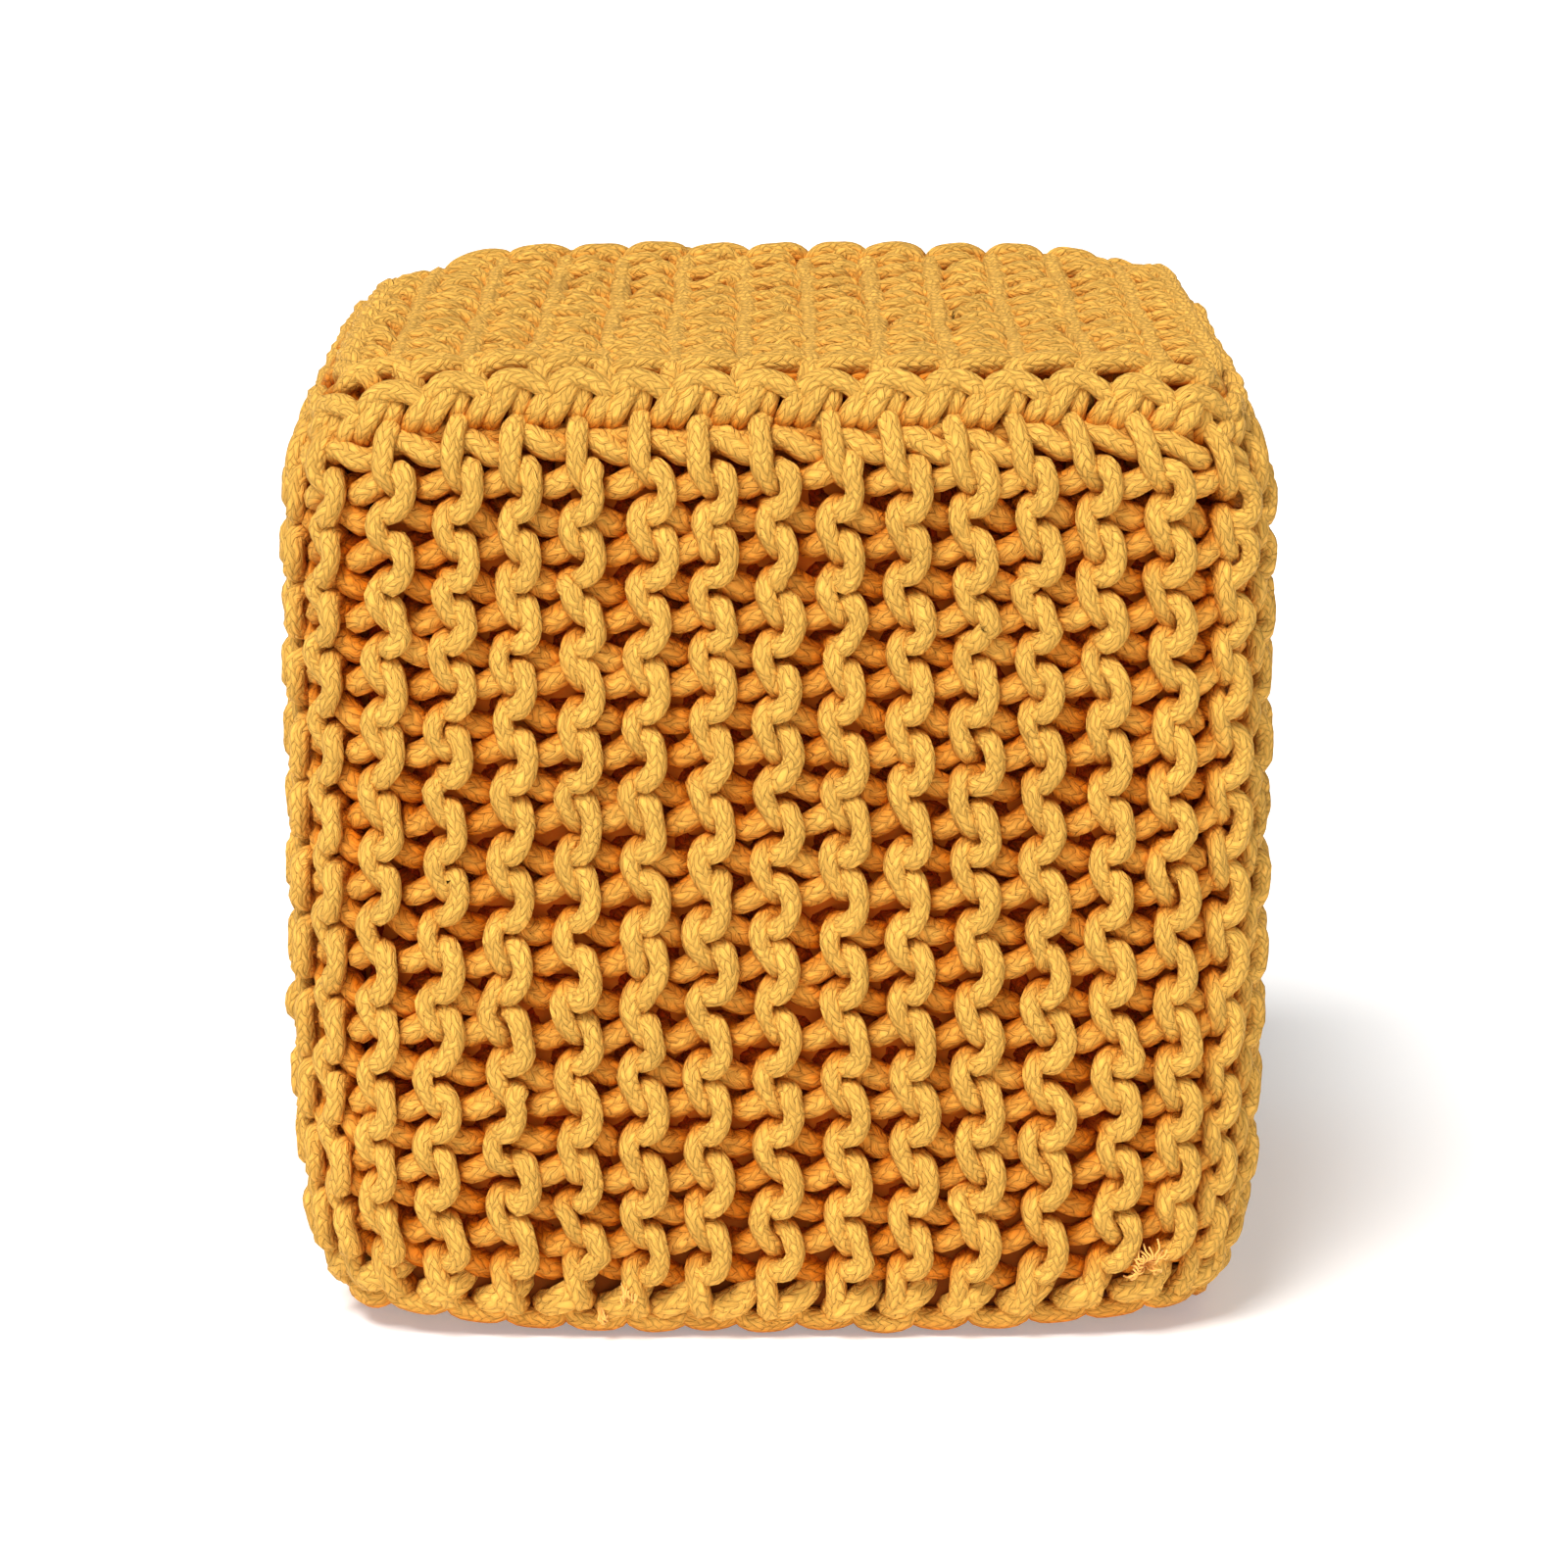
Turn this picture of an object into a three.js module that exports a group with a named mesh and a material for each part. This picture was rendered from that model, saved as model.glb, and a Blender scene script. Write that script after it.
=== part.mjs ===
// Knitted cord pouf: a stuffed cube in a cover of thick cotton cord, knitted in garter stitch.
// A ribbed band goes round the four sides, a square panel closes the top and another the base,
// and a chain of the same cord joins each panel to the band along its edge.
// Millimetres, +Z up, front towards -Y, origin on the floor under the middle of the pouf.
import * as THREE from "three";

// Driving dimensions
const WIDTH = 400; // across the rib crests, the same from side to side and front to back
const HEIGHT = 400; // floor to the top of the upper chain
const CORD = 8.6; // diameter of the cotton cord
const RIBS_PER_SIDE = 14; // knitted ridges on each side of the band
const RIDGES = 14; // knitted ridges across the top and the base panel
const CORNER_DRAW = 0.078; // share by which the plan outline's corners are drawn in
const RIB_DEPTH = 5.5; // valley below the rib crests of the band
const RIDGE_DEPTH = 4; // valley below the ridge crests of the panels
const TOP_CORNER_DIP = 12; // how far the upper edge drops at each corner
const BASE_CORNER_LIFT = 18; // how far the lower edge rises at each corner
const TOP_DISH = 6; // how far the middle of the seat has sunk
const GAP = 0.4; // clearance between sewn pieces

// The chain is a roll of two strands, as thick as two cords beside each other
const CHAIN_RADIUS = 1.05 * CORD;
const CHAIN_LOBE = 0.16; // share by which the two strands stand out of the roll
const CHAIN_SIDES = 6;

// Levels of the band between its two panels
const BASE_THICKNESS = 20;
const TOP_THICKNESS = 12.5; // at the rim, ridge crest to underside
const BAND_LOW = BASE_THICKNESS + GAP;
const REBATE = 1.5; // step in the band's edge where the chain lies
const BAND_HIGH = HEIGHT - 2 * CHAIN_RADIUS - GAP + REBATE;
const CORNER_FADE = 120; // height over which a corner's dip or lift dies away

// Half widths of the pieces at their edges
const HALF = WIDTH / 2;
const TOP_CHAIN_HALF = HALF - 3 - CHAIN_RADIUS;
const BASE_CHAIN_HALF = HALF - 7 - CHAIN_RADIUS;
const TOP_PANEL_HALF = TOP_CHAIN_HALF - CHAIN_RADIUS - GAP;
const BASE_PANEL_HALF = BASE_CHAIN_HALF - CHAIN_RADIUS - GAP;

// The stuffed band's outline from its lower to its upper edge: it swells a little below the middle.
const BAND_PROFILE = [
  { height: 0, inset: 8.5 },
  { height: 0.035, inset: 4.8 },
  { height: 0.11, inset: 1.6 },
  { height: 0.24, inset: 0.2 },
  { height: 0.4, inset: 0 },
  { height: 0.6, inset: 0.3 },
  { height: 0.8, inset: 1 },
  { height: 0.92, inset: 2.4 },
  { height: 0.975, inset: 4 },
  { height: 1, inset: 6 },
];

// One knitted rib or ridge in section: share of its pitch, and share of its height there
const RIB_SECTION = [
  { along: 0, rise: 0 },
  { along: 0.3, rise: 1 },
  { along: 0.7, rise: 1 },
];

const { lerp, smoothstep } = THREE.MathUtils;

// Draws the corners of a square of half width 1 in, so that its outline turns them softly
function drawnIn(x, y) {
  const power = (1 - CORNER_DRAW) / CORNER_DRAW; // makes the outline smooth at the diagonal
  const across = x * (1 - CORNER_DRAW * Math.abs(y) ** power);
  const along = y * (1 - CORNER_DRAW * Math.abs(x) ** power);
  return new THREE.Vector3(across, along, 0);
}

// Plan outline of the stuffed cube at half width 1, a square with bowed sides and soft corners
class SquareOutline extends THREE.Curve {
  getPoint(turn) {
    const angle = 2 * Math.PI * turn;
    const x = Math.cos(angle);
    const y = Math.sin(angle);
    const side = Math.max(Math.abs(x), Math.abs(y));
    return drawnIn(x / side, y / side);
  }
}

const outline = new SquareOutline();
outline.arcLengthDivisions = 2000;

const RIBS = 4 * RIBS_PER_SIDE;
const turnAt = (share) => outline.getPointAt(share - Math.floor(share));

// 0 along the middle of each side, rising to 1 at a corner of the outline
const CORNER_PRODUCT = (1 - CORNER_DRAW) ** 2;
const CORNER_SHARPNESS = 5;
const cornerShare = (at) => (Math.abs(at.x * at.y) / CORNER_PRODUCT) ** CORNER_SHARPNESS;

// A closed mesh from triangles of shared points
function solid(points, triangles) {
  const geometry = new THREE.BufferGeometry().setFromPoints(points);
  geometry.setIndex(triangles);
  geometry.computeVertexNormals();
  return geometry;
}

// Joins closed rings of equal length into a wall, from the first ring up to the last
function wallTriangles(ringCount, ringLength, closed) {
  const triangles = [];
  const steps = closed ? ringCount : ringCount - 1;
  for (let i = 0; i < steps; i++) {
    const low = i * ringLength;
    const high = ((i + 1) % ringCount) * ringLength;
    for (let j = 0; j < ringLength; j++) {
      const next = (j + 1) % ringLength;
      triangles.push(low + j, low + next, high + next, low + j, high + next, high + j);
    }
  }
  return triangles;
}

// Rings stacked from bottom to top, each end closed to a point on the middle axis
function stack(rings, lowLevel, highLevel) {
  const ringLength = rings[0].length;
  const points = rings.flat();
  const triangles = wallTriangles(rings.length, ringLength, false);
  const lowMiddle = points.push(new THREE.Vector3(0, 0, lowLevel)) - 1;
  const highMiddle = points.push(new THREE.Vector3(0, 0, highLevel)) - 1;
  const highStart = (rings.length - 1) * ringLength;
  for (let j = 0; j < ringLength; j++) {
    const next = (j + 1) % ringLength;
    triangles.push(lowMiddle, next, j);
    triangles.push(highMiddle, highStart + j, highStart + next);
  }
  return solid(points, triangles);
}

// Height of a level of the band at a place on its outline, with the corners drawn in
function bandLevel(height, at) {
  const share = cornerShare(at);
  const dip = TOP_CORNER_DIP * share * smoothstep(height, BAND_HIGH - CORNER_FADE, BAND_HIGH);
  const lift = BASE_CORNER_LIFT * share * (1 - smoothstep(height, BAND_LOW, BAND_LOW + CORNER_FADE));
  return height - dip + lift;
}

// Points round the band: RIB_SECTION repeated for every rib, a crest in the middle of each side
function bandTurns() {
  const turns = [];
  for (let rib = 0; rib < RIBS; rib++) {
    for (const { along, rise } of RIB_SECTION) {
      turns.push({ at: turnAt((rib + along - 0.5) / RIBS), rise });
    }
  }
  return turns;
}

// The stuffed band: ribbed wall, with a rebate for the chain and a seat for the panel at each end
function sideBand() {
  const turns = bandTurns();
  const ring = (half, height, depth) =>
    turns.map(({ at, rise }) => {
      const reach = half - depth * (1 - rise);
      return new THREE.Vector3(at.x * reach, at.y * reach, bandLevel(height, at));
    });

  const low = BAND_LOW + REBATE;
  const high = BAND_HIGH - REBATE;
  const wall = BAND_PROFILE.map(({ height, inset }) =>
    ring(HALF - inset, lerp(low, high, height), RIB_DEPTH),
  );
  const rings = [
    ring(BASE_PANEL_HALF - GAP, BAND_LOW, 0),
    ring(BASE_PANEL_HALF, low, 0),
    ...wall,
    ring(TOP_PANEL_HALF, high, 0),
    ring(TOP_PANEL_HALF - GAP, BAND_HIGH, 0),
  ];
  return stack(rings, BAND_LOW, BAND_HIGH);
}

// Lines across a panel, from its front to its back edge: RIB_SECTION repeated for every ridge
function panelLines() {
  const lines = [];
  for (let ridge = 0; ridge < RIDGES; ridge++) {
    for (const { along, rise } of RIB_SECTION) {
      lines.push({ across: 2 * ((ridge + along) / RIDGES) - 1, rise });
    }
  }
  lines.push({ across: 1, rise: 0 });
  return lines;
}

// A knitted square panel: ridged on its outer face, and lying on the band with the other.
// outward is +1 for the seat and -1 for the base. faceLevel gives the height of the outer face,
// and rimLevel that of the inner one along its rim, from which it runs straight to the middle.
function knittedPanel(half, outward, faceLevel, rimLevel) {
  const COLUMNS = 20; // closer together towards the corners
  const lines = panelLines();
  const face = lines.map(({ across, rise }) =>
    Array.from({ length: COLUMNS + 1 }, (_, column) => {
      const along = Math.sin(Math.PI * (column / COLUMNS - 0.5));
      const at = drawnIn(along, across);
      return new THREE.Vector3(at.x * half, at.y * half, faceLevel(at, rise));
    }),
  );

  const points = face.flat();
  const row = COLUMNS + 1;
  const lastLine = (lines.length - 1) * row;
  const triangles = [];
  const add = (a, b, c) => (outward > 0 ? triangles.push(a, b, c) : triangles.push(a, c, b));
  for (let line = 0; line < lines.length - 1; line++) {
    for (let column = 0; column < COLUMNS; column++) {
      const a = line * row + column;
      add(a, a + 1, a + row + 1);
      add(a, a + row + 1, a + row);
    }
  }

  // The rim goes round anticlockwise: front, right, back, left
  const rim = [];
  for (let column = 0; column < COLUMNS; column++) rim.push(column);
  for (let line = 0; line < lines.length - 1; line++) rim.push(line * row + COLUMNS);
  for (let column = COLUMNS; column > 0; column--) rim.push(lastLine + column);
  for (let line = lines.length - 1; line > 0; line--) rim.push(line * row);

  const innerStart = points.length;
  for (const i of rim) {
    const at = points[i].clone().divideScalar(half);
    points.push(new THREE.Vector3(points[i].x, points[i].y, rimLevel(at)));
  }
  const innerMiddle = points.push(new THREE.Vector3(0, 0, rimLevel(new THREE.Vector3()))) - 1;
  rim.forEach((outer, i) => {
    const next = (i + 1) % rim.length;
    add(outer, innerStart + i, innerStart + next);
    add(outer, innerStart + next, rim[next]);
    add(innerMiddle, innerStart + next, innerStart + i);
  });
  return solid(points, triangles);
}

// The seat is dished: its middle has sunk, and its corners are drawn down
function topPanel() {
  const seatLevel = BAND_HIGH + GAP;
  const rimLevel = (at) => seatLevel - TOP_CORNER_DIP * cornerShare(at);
  const faceLevel = (at, rise) => {
    const dish = TOP_DISH * (1 - at.x ** 2) * (1 - at.y ** 2);
    return rimLevel(at) + TOP_THICKNESS - dish - RIDGE_DEPTH * (1 - rise);
  };
  return knittedPanel(TOP_PANEL_HALF, 1, faceLevel, rimLevel);
}

// The base stands on the flattened crests of its ridges, and its corners are drawn up
function basePanel() {
  const lift = (at) => BASE_CORNER_LIFT * cornerShare(at);
  const faceLevel = (at, rise) => lift(at) + RIDGE_DEPTH * (1 - rise);
  return knittedPanel(BASE_PANEL_HALF, -1, faceLevel, (at) => BASE_THICKNESS + lift(at));
}

// A chain of cord along an edge of the band: a roll of two strands that change places at every link
function edgeChain(half, middleLevel) {
  const STEPS_PER_LINK = 3;
  const steps = RIBS * STEPS_PER_LINK;
  const points = [];
  for (let step = 0; step < steps; step++) {
    const at = turnAt(step / steps);
    const centre = new THREE.Vector3(at.x * half, at.y * half, middleLevel(at));
    const ahead = turnAt((step + 0.5) / steps).sub(turnAt((step - 0.5) / steps)).normalize();
    const outwards = new THREE.Vector3(ahead.y, -ahead.x, 0);
    const twist = (Math.PI * step) / STEPS_PER_LINK;
    for (let side = 0; side < CHAIN_SIDES; side++) {
      const angle = (2 * Math.PI * side) / CHAIN_SIDES;
      const lobe = (1 + CHAIN_LOBE * Math.cos(2 * (angle - twist))) / (1 + CHAIN_LOBE);
      const radius = CHAIN_RADIUS * lobe;
      const point = centre.clone().addScaledVector(outwards, radius * Math.cos(angle));
      point.z += radius * Math.sin(angle);
      points.push(point);
    }
  }
  // Wall triangles wind outwards for rings stacked along +Z, so the ring order is turned round here
  const triangles = wallTriangles(steps, CHAIN_SIDES, true).reverse();
  return solid(points, triangles);
}

function topChain() {
  const level = HEIGHT - CHAIN_RADIUS;
  return edgeChain(TOP_CHAIN_HALF, (at) => level - TOP_CORNER_DIP * cornerShare(at));
}

function baseChain() {
  const level = BAND_LOW + REBATE - GAP - CHAIN_RADIUS;
  return edgeChain(BASE_CHAIN_HALF, (at) => level + BASE_CORNER_LIFT * cornerShare(at));
}

// Mustard-dyed cotton cord, dull all over. Every piece is of the same dye.
const mustardCord = (name) =>
  new THREE.MeshStandardMaterial({ name, color: 0xe0a03a, roughness: 0.95, metalness: 0 });

const pouf = new THREE.Group();
for (const [name, geometry] of [
  ["side_band", sideBand()],
  ["top_panel", topPanel()],
  ["base_panel", basePanel()],
  ["top_chain", topChain()],
  ["base_chain", baseChain()],
]) {
  const piece = new THREE.Mesh(geometry, mustardCord(`${name}_cord`));
  piece.name = name;
  pouf.add(piece);
}

export default pouf;
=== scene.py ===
import math

import bpy
import numpy as np
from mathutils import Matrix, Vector


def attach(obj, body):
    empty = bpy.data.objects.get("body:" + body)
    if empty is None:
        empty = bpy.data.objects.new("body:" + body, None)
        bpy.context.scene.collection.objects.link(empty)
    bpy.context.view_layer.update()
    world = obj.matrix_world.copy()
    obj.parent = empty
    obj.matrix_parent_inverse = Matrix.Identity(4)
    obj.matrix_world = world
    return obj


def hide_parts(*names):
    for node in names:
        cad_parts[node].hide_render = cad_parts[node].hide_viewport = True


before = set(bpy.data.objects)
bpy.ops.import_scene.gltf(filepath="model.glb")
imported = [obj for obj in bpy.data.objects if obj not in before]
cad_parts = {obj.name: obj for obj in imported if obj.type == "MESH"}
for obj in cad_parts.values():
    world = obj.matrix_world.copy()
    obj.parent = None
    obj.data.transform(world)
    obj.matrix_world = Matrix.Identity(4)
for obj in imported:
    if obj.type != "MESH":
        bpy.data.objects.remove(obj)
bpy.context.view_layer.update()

dice = np.random.default_rng(2207)  # one seed for every uneven stitch
print("frame loaded:", ", ".join(sorted(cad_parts)))

# All lengths below are millimetres until a mesh is made.
pouf = {
    "columns": 56,          # knitted ridges round the band
    "perSide": 14,
    "planPoints": 7201,
    "bandDraw": 0.078,      # share by which the corners of the band's plan are drawn in
    "edgeDraw": 0.058,      # the same for the seat, the base and their chains
    "cornerShare": 0.88,    # about what x times y comes to at a corner of the plan
    "topDip": 7.5,          # how far the top edge dips at a corner
    "topPower": 9,          # how close to the corner it does so
    "softCorners": (0.67, 2.4, 1.5),  # shares of that dip in front, at the back left and at the back right
    "sideDrop": 13.0,       # how much lower the top edge runs on the left and right than in front
    "sidePower": 14,        # how close to them it drops
    "baseLift": 8.5,        # how far the lower edge rises at a corner
    "basePower": 3.0,
    "cornerFade": 120.0,    # height over which these die away
    "cordRadius": 4.5,
    "cordSides": 7,
    "swell": 0.035,         # share by which the cord's thickness comes and goes
    "swellRates": (0.41, 0.9),  # radians from ring to ring
    "tuckedShade": (0.0, 15.0),  # depths in the knit where painted shade starts and where it is full
}


def drawnIn(x, y, draw):
    power = (1 - draw) / draw
    return x * (1 - draw * np.abs(y) ** power), y * (1 - draw * np.abs(x) ** power)


def cornerDrop(x, y):
    front, left, right = pouf["softCorners"]
    soft = np.where(y > 0, np.where(x < 0, left, right), front)
    return soft * (np.abs(x * y) / pouf["cornerShare"]) ** pouf["topPower"]


def topDrop(x, y):
    return pouf["sideDrop"] * np.abs(x) ** pouf["sidePower"] + pouf["topDip"] * cornerDrop(x, y)


def baseRise(x, y):
    return pouf["baseLift"] * (np.abs(x * y) / pouf["cornerShare"]) ** pouf["basePower"]


def easeBetween(value, low, high):
    share = np.clip((value - low) / (high - low), 0, 1)
    return share * share * (3 - 2 * share)


def planOutline(draw):  # at half width 1, with its outward direction, spaced by length from the +X side
    angle = np.linspace(0, 2 * np.pi, pouf["planPoints"])
    square = np.maximum(np.abs(np.cos(angle)), np.abs(np.sin(angle)))
    x, y = drawnIn(np.cos(angle) / square, np.sin(angle) / square, draw)
    stepX, stepY = np.gradient(x), np.gradient(y)
    length = np.hypot(stepX, stepY)
    share = np.concatenate([[0], np.cumsum(np.hypot(np.diff(x), np.diff(y)))])
    return share / share[-1], x, y, stepY / length, -stepX / length


bandPlan = planOutline(pouf["bandDraw"])
edgePlan = planOutline(pouf["edgeDraw"])


def roundTheEdge(u, plan):  # u counts columns to the right from the middle of the front
    share = (u / pouf["columns"] + 0.75) % 1
    x, y, outX, outY = (np.interp(share, plan[0], row) for row in plan[1:])
    length = np.hypot(outX, outY)
    return x, y, outX / length, outY / length


# Slow waves that make hand-made rows drift, shared by neighbouring columns
drift = {"waves": 5, "perColumn": 0.55, "perMillimetre": 0.028}  # radians at most
waves = dice.uniform(-1, 1, (drift["waves"], 2)) * [drift["perColumn"], drift["perMillimetre"]]
wavePhase = dice.uniform(0, 2 * np.pi, drift["waves"])


def slowDrift(column, height, shift):
    total = 0
    for (across, up), phase in zip(waves, wavePhase):
        total = total + np.sin(column * across + height * up + phase + shift)
    return total / len(waves)


def splinePoints(control, steps):  # a smooth curve through the points, steps[i] pieces in span i
    first = 2 * control[:, :1] - control[:, 1:2]
    last = 2 * control[:, -1:] - control[:, -2:-1]
    padded = np.concatenate([first, control, last], axis=1)
    span = np.repeat(np.arange(len(steps)), steps)
    share = np.concatenate([np.arange(n) / n for n in steps])
    span, share = np.append(span, len(steps) - 1), np.append(share, 1.0)
    t = share[None, :, None]
    a, b, c, d = (padded[:, span + i] for i in range(4))
    curve = 2 * b + (c - a) * t + (2 * a - 5 * b + 4 * c - d) * t**2 + (3 * b - a - 3 * c + d) * t**3
    return 0.5 * curve


def unit(vectors):
    return vectors / np.maximum(np.linalg.norm(vectors, axis=-1, keepdims=True), 1e-9)


def sweepCord(paths, radius, sides):  # rings round every path, carried along without spin; radius may vary
    along = unit(np.gradient(paths, axis=1))
    side = np.empty_like(paths)
    aslant = np.array([0.31, 0.42, 0.85])  # a direction that no cord sets out in
    side[:, 0] = unit(np.cross(along[:, 0], aslant))
    for i in range(1, paths.shape[1]):
        carried = side[:, i - 1]
        reach = np.sum(carried * along[:, i], axis=-1, keepdims=True)
        side[:, i] = unit(carried - reach * along[:, i])
    other = np.cross(along, side)
    turn = 2 * np.pi * np.arange(sides) / sides
    around = side[:, :, None] * np.cos(turn)[:, None] + other[:, :, None] * np.sin(turn)[:, None]
    step = np.arange(paths.shape[1])
    phases = dice.uniform(0, 2 * np.pi, (2, len(paths), 1))
    slow, fast = (np.sin(step * rate + phase) for rate, phase in zip(pouf["swellRates"], phases))
    swell = 1 + pouf["swell"] * (slow + fast)
    return paths[:, :, None] + (radius * swell)[..., None, None] * around


# The bake map lays cut lengths of cord side by side: a length's shape, and shares of the room it gets
bake = {"lengthToWidth": 3, "endGap": 0.03, "sideGap": 0.06, "capSize": 0.4}


def cordPiece(name, groups, radius, sides, cellRings, node):
    # One mesh of closed cords. Each group is (paths, how far out of the knit they lie, outward directions,
    # and share of the radius). The bake map cuts the cords every cellRings rings.
    verts, faces, braidMap, bakeSpots, shades, caps = [], [], [], [], [], []
    cellCount = 0
    start = 0
    for paths, level, outward, thickness in groups:
        cords, points = paths.shape[:2]
        rings = sweepCord(paths, radius * thickness, sides)
        index = start + np.arange(cords * points * sides).reshape(cords, points, sides)
        start += cords * points * sides
        nextSide = np.roll(index, -1, axis=2)
        quads = np.stack([index[:, :-1], nextSide[:, :-1], nextSide[:, 1:], index[:, 1:]], axis=-1)
        faces += quads.reshape(-1, 4).tolist()
        caps += index[:, 0, ::-1].tolist() + index[:, -1].tolist()
        verts.append(rings.reshape(-1, 3))
        # Painted shade: the deeper a ring point lies in the knit, the more of the cord material's shade tint
        # it gets
        proud = level[..., None] + np.sum((rings - paths[:, :, None]) * outward[:, :, None], axis=-1)
        palest, deepest = pouf["tuckedShade"]
        shades.append(np.clip((-proud - palest) / (deepest - palest), 0, 1).ravel())

        shape = quads.shape[:3]
        length = np.cumsum(np.linalg.norm(np.diff(paths, axis=1), axis=-1), axis=1)
        length = np.concatenate([np.zeros((cords, 1)), length], axis=1) * 0.001
        left = np.broadcast_to(np.arange(sides) / sides, shape)
        low = np.broadcast_to(length[:, :-1, None], shape)
        high = np.broadcast_to(length[:, 1:, None], shape)
        corners = [left, low, left + 1 / sides, low, left + 1 / sides, high, left, high]
        braidMap.append(np.stack(corners, axis=-1).reshape(-1, 2))

        ring = np.arange(points - 1)
        cellsEach = -(-(points - 1) // cellRings)
        cell = cellCount + np.arange(cords)[:, None] * cellsEach + ring[None] // cellRings
        cellCount += cords * cellsEach
        inCell = np.broadcast_to((ring % cellRings)[None, :, None], shape)
        cell = np.broadcast_to(cell[:, :, None], shape)
        bakeSpots.append(np.stack([cell, inCell, left], axis=-1).reshape(-1, 3))

    mesh = bpy.data.meshes.new(name)
    mesh.from_pydata((np.concatenate(verts) * 0.001).tolist(), [], faces + caps)
    capCorners = len(caps) * sides
    layer = mesh.uv_layers.new(name="cord")  # turns round the cord, and metres along it
    braidMap.append(np.zeros((capCorners, 2)))
    layer.uv.foreach_set("vector", np.concatenate(braidMap).ravel().astype(np.float32))

    across = max(1, round(math.sqrt(cellCount / bake["lengthToWidth"])))
    down = -(-cellCount // across) + 1  # the cord ends have the last row
    cell, inCell, left = np.concatenate(bakeSpots).T
    cellLength, cellWidth = 1 - 2 * bake["endGap"], 1 - 2 * bake["sideGap"]
    begin = (cell % across + bake["endGap"] + cellLength * inCell / cellRings) / across
    end = begin + cellLength / cellRings / across
    lower = (cell // across + bake["sideGap"] + cellWidth * left) / down
    upper = lower + cellWidth / sides / down
    bakeMap = np.stack([begin, lower, begin, upper, end, upper, end, lower], axis=-1).reshape(-1, 2)
    turn = 2 * np.pi * np.arange(sides) / sides
    spot = bake["capSize"] * np.stack([np.cos(turn) / len(caps), np.sin(turn) / down], axis=-1)
    capAlong = (np.arange(len(caps)) + 0.5) / len(caps)
    capMiddles = np.stack([capAlong, np.full(len(caps), 1 - 0.5 / down)], axis=-1)
    capMap = (capMiddles[:, None] + spot[None]).reshape(-1, 2)
    layer = mesh.uv_layers.new(name="OFBake")
    layer.uv.foreach_set("vector", np.concatenate([bakeMap, capMap]).ravel().astype(np.float32))

    # The amount of painted shade at each point, read by the cord material
    shade = mesh.attributes.new("tuckedShade", "FLOAT", "POINT")
    shade.data.foreach_set("value", np.concatenate(shades).astype(np.float32))
    mesh.polygons.foreach_set("use_smooth", np.ones(len(mesh.polygons), dtype=bool))
    mesh.update()
    piece = bpy.data.objects.new(name, mesh)
    bpy.context.scene.collection.objects.link(piece)
    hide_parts(node)
    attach(piece, "root")
    knitPieces.append(piece)
    print(f"{name}: {2 * len(faces) + len(caps) * (sides - 2)} triangles")


knitPieces = []

# One garter stitch: sideways, along its ridge, and out of the face. A loop bows to its own side in front,
# tucks behind its neighbour at both ends, crosses the valley on the other side and makes the back's ridge.
stitch = {
    "pitch": 28.5,
    "ridgePitch": 26.6,
    "rightLoop": [
        (-1.6, -10.4, -5.0),
        (2.0, -8.8, 0.1),
        (5.2, -4.4, 1.0),
        (6.0, 0.6, 1.0),
        (5.0, 5.4, 0.8),
        (3.2, 8.6, -2.4),
        (-1.0, 8.0, -8.8),
        (-7.6, 3.8, -7.2),
        (-13.2, 0.8, -7.2),
        (-17.2, 0.4, -11.8),
        (-18.2, 5.0, -18.5),
        (-16.0, 13.0, -21.5),
        (-10.0, 18.6, -18.5),
        (-4.6, 18.6, -13.5),
    ],
    "leftLoop": [  # straighter, and longer below
        (-1.4, -12.6, -8.8),
        (1.0, -10.0, -4.4),
        (4.2, -5.0, -2.4),
        (5.9, 0.4, -1.4),
        (5.0, 4.8, -3.4),
        (2.0, 7.4, -7.6),
        (-3.2, 5.8, -9.0),
        (-8.4, 2.6, -8.6),
        (-13.2, 0.4, -9.4),
        (-17.2, 0.4, -12.8),
        (-18.2, 5.0, -18.5),
        (-16.0, 13.0, -21.5),
        (-10.0, 18.6, -18.5),
        (-4.6, 18.6, -13.5),
    ],
    # Shares of the radius, thicker where a cord lies slack in the valley
    "rightThickness": [1.08, 1.06, 0.98, 0.96, 0.98, 1.04, 1.2, 1.26, 1.22, 1.1, 1, 1, 1, 1],
    "leftThickness": [1.12, 1.1, 1.0, 0.96, 0.98, 1.1, 1.34, 1.4, 1.34, 1.15, 1, 1, 1, 1],
    "steps": [2, 3, 2, 2, 3, 3, 2, 2, 2, 2, 1, 1, 1, 2],
    "backFrom": 11,  # the point from which a loop lies on the back
    "uneven": (0.9, 1.2, 0.65, 0.03),  # how far a stitch strays each way, and in thickness
    "strayRun": 6,   # points that stray together
}
rightLoop = np.column_stack([stitch["rightLoop"], stitch["rightThickness"]])
leftLoop = np.column_stack([stitch["leftLoop"], stitch["leftThickness"]])


def garterCourse(loop, pitch, stitches, leadIn, start, stop, leadOut):
    # Control points of a course, first stitch at 0. leadIn stands for the first stitch's points before start,
    # and leadOut for the last one's from stop on.
    points = [np.array(leadIn).reshape(-1, 4)]
    steps = [2] * len(leadIn)
    for i in range(stitches):
        begin = start if i == 0 else 0
        end = stop if i == stitches - 1 else len(loop)
        points.append(loop[begin:end] + [0, i * pitch, 0, 0])
        steps += stitch["steps"][begin:end]
    points.append(np.array(leadOut).reshape(-1, 4) + [0, (stitches - 1) * pitch, 0, 0])
    steps += [3] * len(leadOut)
    return np.concatenate(points), steps[:-1]


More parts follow.
